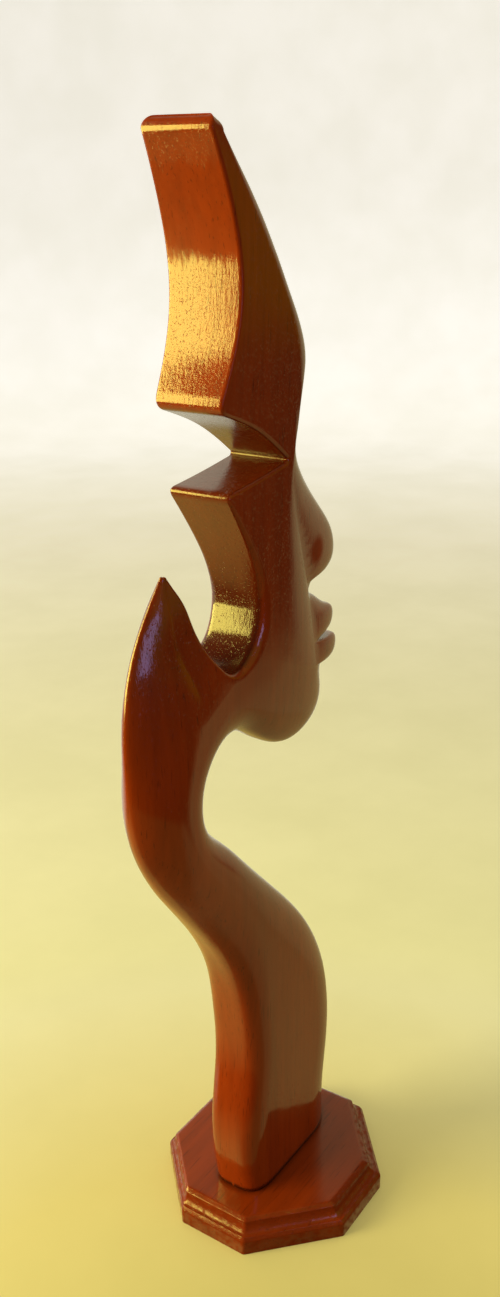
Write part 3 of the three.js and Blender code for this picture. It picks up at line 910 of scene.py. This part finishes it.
# A zone is (low, high, softness of its borders), and a fade is (where it starts, where it ends),
# both as places in metres. The facing ones are parts of the direction in which a surface faces.
HOLLOW_X = (-0.068, -0.012, 0.006)
HOLLOW_Z = (0.332, 0.456, 0.006)
INSIDE_FACING = (0.8, 0.4)
DEEP_HOLLOW = (0.392, 0.352)
# Painted shade in the hollow cut and the notch: how much darker they are, and more in the deepest part.
HOLLOW_SHADE = 0.5
DEEP_HOLLOW_SHADE = 0.32  # added in the deepest part
HOLLOW_BRUSHED = 0.7  # how rough its strokes are, where 1 is as rough as on the band
HORN_Z = (0.30, 0.37)
HORN_X = (-0.072, -0.084)
# How much darker the upper part of the horn is.
HORN_DARKENING = 0.35
BACK_FACING = (-0.6, -0.85)
ROUGH_BAND = (0.45, 0.518, 0.012)
DULL_BAND = (0.524, 0.562, 0.006)
RAGGED = 0.016  # how far the ends of the dull band run up and down
RAGGED_STROKES = 480
RAGGED_GRAIN = (1, 1, 0.07)
CROWN_EDGE_FACING = (-0.8, -0.2, 0.2)
CROWN_Z = (0.452, 0.462)
NOSE_WING = (0.022, -0.012, 0.375)
WING_REACH = (0.004, 0.010)


def uneven_figure(nodes, place):
    """How much darker, how roughly brushed and how well varnished each part of the figure is.
    The darkening of the hollow and the notch is painted shade.
    """
    x, _, z = nodes.add("ShaderNodeSeparateXYZ", {0: place}).outputs
    normal = nodes.add("ShaderNodeTexCoord").outputs["Normal"]
    facing_x, facing_y, _ = nodes.add("ShaderNodeSeparateXYZ", {0: normal}).outputs
    # Painted shade: the hollow cut and the notch are darkened, and more so low in the hollow.
    hollow = nodes.math("MULTIPLY", nodes.between(x, *HOLLOW_X), nodes.between(z, *HOLLOW_Z))
    inside = nodes.fade(nodes.math("ABSOLUTE", facing_y), *INSIDE_FACING)
    hollow = nodes.math("MULTIPLY", hollow, inside)
    depth = nodes.math("MULTIPLY_ADD", nodes.fade(z, *DEEP_HOLLOW), DEEP_HOLLOW_SHADE, HOLLOW_SHADE)
    darkened = nodes.math("MULTIPLY", hollow, depth)
    horn = nodes.math("MULTIPLY", nodes.fade(z, *HORN_Z), nodes.fade(x, *HORN_X))
    darkened = nodes.math("MULTIPLY_ADD", horn, HORN_DARKENING, darkened)
    backwards = nodes.fade(facing_x, *BACK_FACING)
    on_band = nodes.math("MULTIPLY", nodes.between(z, *ROUGH_BAND), backwards)
    rough = nodes.math("MAXIMUM", on_band, nodes.math("MULTIPLY", hollow, HOLLOW_BRUSHED))
    rough = nodes.math("MAXIMUM", rough, horn)
    brushed = nodes.math("MULTIPLY_ADD", rough, 1 - BRUSHED, BRUSHED)
    ends = {0: place, 1: NOSE_WING}
    reach = nodes.add("ShaderNodeVectorMath", ends, operation="DISTANCE").outputs["Value"]
    strokes = nodes.noise(stretched(nodes, RAGGED_GRAIN), RAGGED_STROKES, 3, 0.6)
    ragged = nodes.math("MULTIPLY_ADD", strokes, RAGGED, z)
    dull = nodes.math("MULTIPLY", nodes.between(ragged, *DULL_BAND), backwards)
    on_edge = nodes.between(facing_x, *CROWN_EDGE_FACING)
    rubbed = nodes.math("MULTIPLY", on_edge, nodes.fade(z, *CROWN_Z))
    left = nodes.math("MULTIPLY_ADD", nodes.math("MAXIMUM", dull, rubbed), -DULLED, 1)
    return darkened, brushed, nodes.math("MULTIPLY", nodes.fade(reach, *WING_REACH), left)


# %% Masks of the base
MOULDING_Z = (0.0184, 0.0178)  # a fade from the flat top down to the moulding
# How much darker the moulding and the sides below it are than the top.
MOULDING_DARKENING = 0.12
PATCHES = 330  # scale of the noise that makes the patches
PATCH_STOPS = (0.45, 0.6)


def uneven_base(nodes, place):
    """The same for the base, whose moulding is darker and unevenly varnished."""
    height = nodes.add("ShaderNodeSeparateXYZ", {0: place}).outputs[2]
    moulded = nodes.fade(height, *MOULDING_Z)
    darkened = nodes.math("MULTIPLY", moulded, MOULDING_DARKENING)
    brushed = nodes.math("MULTIPLY_ADD", moulded, 1 - BRUSHED, BRUSHED)
    patches = nodes.fade(nodes.noise(place, PATCHES, 3, 0.7), *PATCH_STOPS)
    thin = nodes.math("MULTIPLY", moulded, patches)
    return darkened, brushed, nodes.math("MULTIPLY_ADD", thin, -DULLED, 1)


# %% The two woods
FIGURE_PALE = (0.34, 0.039, 0.0006)
FIGURE_DEEP = (0.25, 0.026, 0.0005)
BASE_PALE = (0.30, 0.036, 0.0006)
BASE_DEEP = (0.21, 0.023, 0.0005)
UPRIGHT_GRAIN = (1, 1, 0.05)
GRAIN_ALONG_X = (0.05, 1, 1)
figure_wood = varnished_wood("figure_wood", UPRIGHT_GRAIN, FIGURE_PALE, FIGURE_DEEP, uneven_figure)
base_wood = varnished_wood("base_wood", GRAIN_ALONG_X, BASE_PALE, BASE_DEEP, uneven_base)
figure.data.materials.append(figure_wood)
base.data.materials.append(base_wood)
print("nodes in the figure's wood:", len(figure_wood.node_tree.nodes))

# %% [markdown]
# A pale studio
#
# The figurine stands on a pale sheet that runs up into a wall behind it. The stage here is a
# round cove: a floor that curves up into a wall, so that there is no line at the horizon from
# any side. Near the figurine the sheet has a painted shadow of darker yellow, and it fades to
# cream further off. It has a faint glow of its own, stronger up the wall, which stands for light
# that the room throws on it. The wood doesn't see the cove: what the varnish mirrors is set
# apart below.

# %% The cove
FLOOR_RINGS = (0.0, 0.4, 1.0, 1.6, 2.2)  # radii in metres
COVE_RADIUS = 0.6
CURVE_STEPS = 12
WALL_HEIGHT = 2.4
COVE_SIDES = 96
SHEET_REACH = 3.0  # metres, over which the sheet's colours run
# The painted shadow on the sheet is darkest here, close to the figurine.
SHEET_MIDDLE = (-0.17, -0.11, 0)  # where it is darkest, close to the figurine
SHEET_GLOW = 0.2
WALL_GLOW = 0.51
GLOW_START = 1.0  # metres from the middle, where the sheet's glow starts to grow
GLOW_END = 2.6  # and where it has become the wall's
CREASES = 7  # scale of the noise that shades the sheet's creases
CREASE_SHADES = [(0.35, (0.95, 0.95, 0.93)), (0.65, (1, 1, 1))]
# The dark yellow of the first stops is a painted shadow round the figurine; further off the sheet is
# cream.
# Each stop is (distance from the sheet's middle as a share of the reach, colour).
SHEET_COLOURS_AND_SHADOW = [
    (0.0, (0.54, 0.48, 0.14)),
    (0.07, (0.70, 0.62, 0.22)),
    (0.13, (0.75, 0.73, 0.41)),
    (0.15, (0.77, 0.755, 0.41)),
    (0.55, (0.79, 0.77, 0.64)),
    (0.95, (0.89, 0.905, 0.97)),
]


def cove():
    section = [(radius, 0.0) for radius in FLOOR_RINGS]
    for angle in np.linspace(0, math.pi / 2, CURVE_STEPS + 1)[1:]:
        across = FLOOR_RINGS[-1] + COVE_RADIUS * math.sin(angle)
        section.append((across, COVE_RADIUS * (1 - math.cos(angle))))
    section.append((FLOOR_RINGS[-1] + COVE_RADIUS, WALL_HEIGHT))
    work = bmesh.new()
    loops = []
    for radius, height in section:
        turns = np.linspace(0, 2 * math.pi, COVE_SIDES, endpoint=False)
        loops.append([work.verts.new((radius * math.cos(a), radius * math.sin(a), height)) for a in turns])
    for inner, outer in zip(loops, loops[1:]):
        for i in range(COVE_SIDES):
            j = (i + 1) % COVE_SIDES
            work.faces.new((inner[i], outer[i], outer[j], inner[j]))
    bmesh.ops.remove_doubles(work, verts=work.verts, dist=WELD_DISTANCE)
    mesh = bpy.data.meshes.new("cove")
    work.to_mesh(mesh)
    work.free()
    mesh.shade_smooth()
    stage = bpy.data.objects.new("cove", mesh)
    bpy.context.scene.collection.objects.link(stage)
    return stage


floor = cove()
print("cove faces:", len(floor.data.polygons))
floor.visible_glossy = False
floor.visible_diffuse = False
floor.visible_shadow = False

# %% The sheet's colours
sheet = bpy.data.materials.new("pale_sheet")
sheet.use_nodes = True
nodes = Nodes(sheet.node_tree)
place = nodes.add("ShaderNodeTexCoord").outputs["Object"]
ends = {0: place, 1: SHEET_MIDDLE}
distance = nodes.add("ShaderNodeVectorMath", ends, operation="DISTANCE").outputs["Value"]
shadowed_sheet_colour = nodes.ramp(nodes.math("DIVIDE", distance, SHEET_REACH), *SHEET_COLOURS_AND_SHADOW)
creases = nodes.ramp(nodes.noise(place, CREASES, 4, 0.6), *CREASE_SHADES)
shadowed_sheet_colour = nodes.mix(1.0, shadowed_sheet_colour, creases, "MULTIPLY")
cloth = nodes.add("ShaderNodeBsdfDiffuse", {"Color": shadowed_sheet_colour})
glow_ends = {"Value": distance, "From Min": GLOW_START, "From Max": GLOW_END}
glow_ends |= {"To Min": SHEET_GLOW, "To Max": WALL_GLOW}
strength = nodes.add("ShaderNodeMapRange", glow_ends).outputs["Result"]
glow = nodes.add("ShaderNodeEmission", {"Color": shadowed_sheet_colour, "Strength": strength})
both = nodes.add("ShaderNodeAddShader", {0: cloth.outputs[0], 1: glow.outputs[0]})
nodes.add("ShaderNodeOutputMaterial", {"Surface": both.outputs[0]})
floor.data.materials.append(sheet)

# %% [markdown]
# What the varnish mirrors
#
# In a glossy finish the reflections matter as much as the light: a photographer sets up pale
# cards and dark flags for them. Here the world does that job, for mirrored rays only. Each card
# is a sector of the view around, in degrees: turn is the angle from +X towards +Y, and rise the
# angle above the horizon. All other rays see a plain soft room, brighter on the window's side
# and above, and dimmer on the other side and below.

# %% The world
DIM_SIDE = (0.32, 0.29, 0.17)
LIT_SIDE = (0.62, 0.58, 0.46)
FROM_BELOW = (0.22, 0.16, 0.05)
FROM_ABOVE = (0.66, 0.60, 0.46)
DARK_ROOM = (0.012, 0.010, 0.006)
# Each fade is (start, end), as a part of the direction in which a ray goes.
TO_LIT_SIDE = (-0.7, 0.9)
TO_BELOW = (0, -0.5)
TO_ABOVE = (0.2, 0.9)
CARDS = {
    # name: (turn from, to, soft), (rise from, to, soft), colour; 400 is beyond any turn
    "room": ((-118, -42, 20), (2, 70, 16), (0.16, 0.27, 0.04)),
    "backdrop": ((-19, 124, 13), (-40, 47, 10), (0.46, 0.41, 0.22)),
    "near_sheet": ((-19, 124, 13), (-60, -14, 26), (0.42, 0.34, 0.12)),
    "side_sheet": ((-44, -10, 20), (-60, -20, 6), (0.42, 0.34, 0.12)),
    "dim_corner": ((-46, -16, 12), (-7, 5, 6), (0.20, 0.16, 0.0)),
    "lit_backdrop": ((18, 118, 26), (-50, 36, 12), (0.74, 0.70, 0.52)),
    "floor": ((-400, 400, 1), (-95, -32, 5), (0.22, 0.17, 0.04)),
    "sheet": ((-68, 80, 10), (-95, -31, 5), (0.38, 0.29, 0.09)),
    "lit_sheet": ((30, 168, 40), (-95, -36, 22), (0.84, 0.64, 0.14)),
}
world = bpy.data.worlds.new("studio")
bpy.context.scene.world = world
world.use_nodes = True
nodes = Nodes(world.node_tree)
toward = nodes.add("ShaderNodeTexCoord").outputs["Generated"]
x, y, z = nodes.add("ShaderNodeSeparateXYZ", {0: toward}).outputs
turn = nodes.math("DEGREES", nodes.math("ARCTAN2", y, x))
rise = nodes.math("DEGREES", nodes.math("ARCSINE", z))
mirrored = DARK_ROOM
for turns, rises, colour in CARDS.values():
    share = nodes.math("MULTIPLY", nodes.between(turn, *turns), nodes.between(rise, *rises))
    mirrored = nodes.mix(share, mirrored, colour)
cards = nodes.add("ShaderNodeBackground", {"Color": mirrored})
around = nodes.mix(nodes.fade(y, *TO_LIT_SIDE), DIM_SIDE, LIT_SIDE)
around = nodes.mix(nodes.fade(z, *TO_BELOW), around, FROM_BELOW)
around = nodes.mix(nodes.fade(z, *TO_ABOVE), around, FROM_ABOVE)
sky = nodes.add("ShaderNodeBackground", {"Color": around})
is_mirrored = nodes.add("ShaderNodeLightPath").outputs["Is Glossy Ray"]
both = nodes.add("ShaderNodeMixShader", {0: is_mirrored, 1: sky.outputs[0], 2: cards.outputs[0]})
nodes.add("ShaderNodeOutputWorld", {"Surface": both.outputs[0]})
bpy.context.scene.view_settings.view_transform = "Standard"
print("cards around the varnish:", len(CARDS))

# %% [markdown]
# Daylight and two windows
#
# A broad warm lamp lights the wood and the sheet like daylight from a window, and isn't
# mirrored. The bright marks on the varnish need a window at a real distance: a card in the
# world is infinitely far off, and its marks on the band and in the hollow would never fit one
# window. So two more lamps are seen in the varnish alone, a warm one, and a small violet one on
# the other side.

# %% The lamps
# Each lamp is [turn and rise in degrees, distance from its aim, aim, width, height, power in
# watts, colour], with places and sizes in metres.
LAMPS = {
    "daylight": [142, 14, 1.7, (-0.03, 0, 0.3), 0.9, 0.9, 32, (1.0, 0.88, 0.56)],
    "window": [123.5, 0, 1.07, (-0.04, 0, 0.60), 1.11, 0.91, 46, (1.0, 0.86, 0.167)],
    "far_window": [-120, 0, 0.9, (0.142, -0.14, 0.58), 0.28, 0.44, 1.3, (0.5, 0.45, 1.0)],
}


def lamp(name, turn, rise, distance, aim, width, height, power, colour):
    light = bpy.data.lights.new(name, "AREA")
    light.shape = "RECTANGLE"
    light.size = width
    light.size_y = height
    light.energy = power
    light.color = colour
    holder = bpy.data.objects.new(name, light)
    bpy.context.scene.collection.objects.link(holder)
    turn, rise = math.radians(turn), math.radians(rise)
    away = Vector((math.cos(turn) * math.cos(rise), math.sin(turn) * math.cos(rise), math.sin(rise)))
    holder.location = Vector(aim) + away * distance
    holder.rotation_mode = "QUATERNION"
    holder.rotation_quaternion = away.to_track_quat("Z", "Y")
    holder.visible_camera = False
    return holder


for name, values in LAMPS.items():
    holder = lamp(name, *values)
    holder.visible_glossy = name != "daylight"
    holder.visible_diffuse = name == "daylight"
